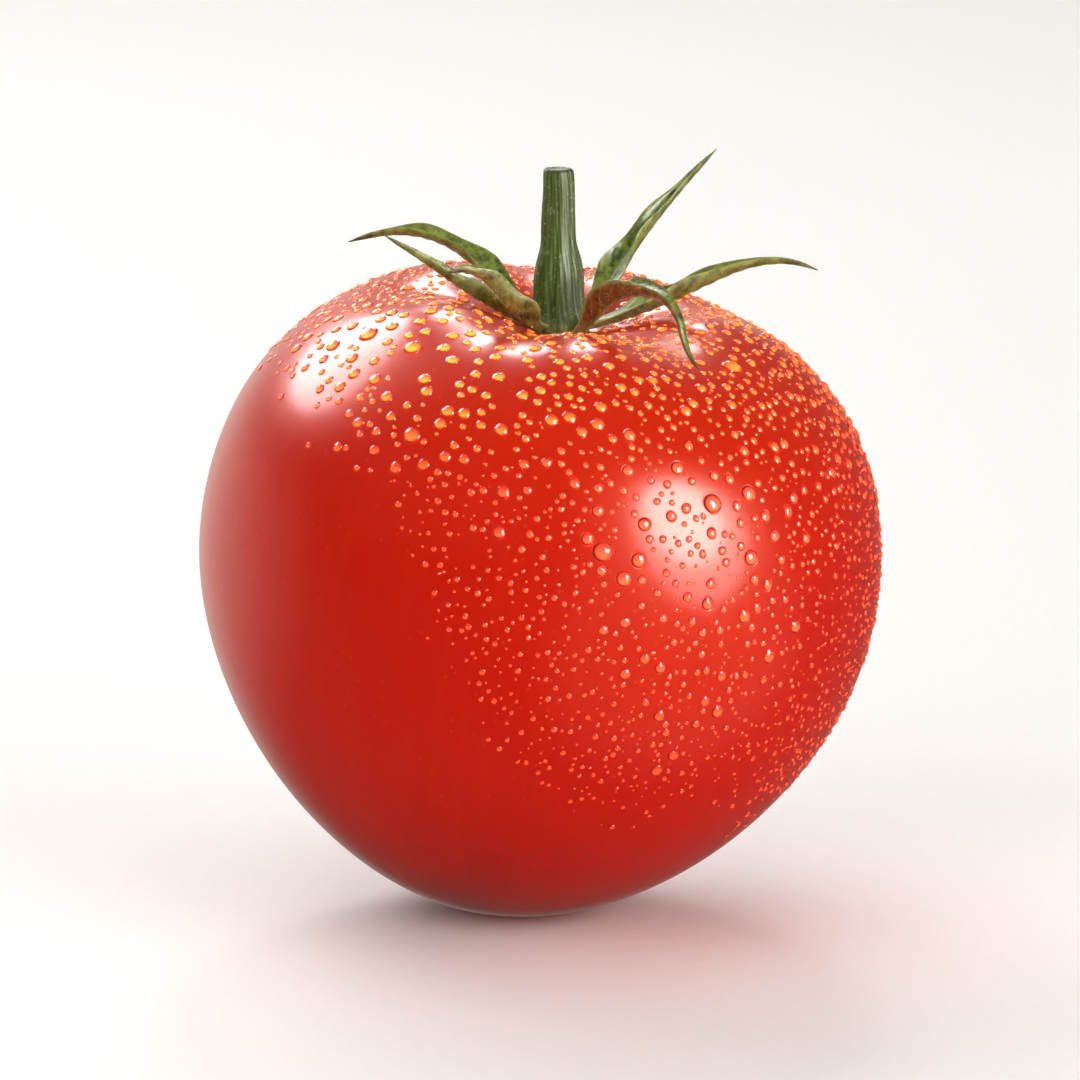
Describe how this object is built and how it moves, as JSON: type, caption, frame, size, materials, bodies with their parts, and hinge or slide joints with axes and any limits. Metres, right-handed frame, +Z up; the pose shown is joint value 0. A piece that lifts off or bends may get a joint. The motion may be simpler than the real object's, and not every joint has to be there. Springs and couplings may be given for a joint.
{
  "type": "tomato",
  "caption": "Round red tomato as picked, standing on a small flat spot, with its green calyx of long pointed sepals and a short cut stem.",
  "frame": {"origin": "middle of the small flat spot that the fruit rests on, at table height", "axes": "+Z up, out of the table; +X to the right and +Y to the back as the fruit is looked at from its front; the crown leans towards +X and a little towards -Y"},
  "size_m": [0.0681, 0.068, 0.0759],
  "materials": {
    "tomato_skin": "smooth waxy fruit skin, glossy, slightly translucent red",
    "stem_green": "dark olive green, finely ribbed and downy",
    "sepal_green": "grey-green downy leaf with paler veins and brownish undersides",
    "water": "clear water drops"
  },
  "bodies": {
    "root": {"fruit": "tomato_skin", "stem": "stem_green", "sepal_right": "sepal_green", "sepal_back_right": "sepal_green", "sepal_back_left": "sepal_green", "sepal_left": "sepal_green", "sepal_front_left": "sepal_green", "sepal_front_right": "sepal_green"}
  },
  "joints": []
}
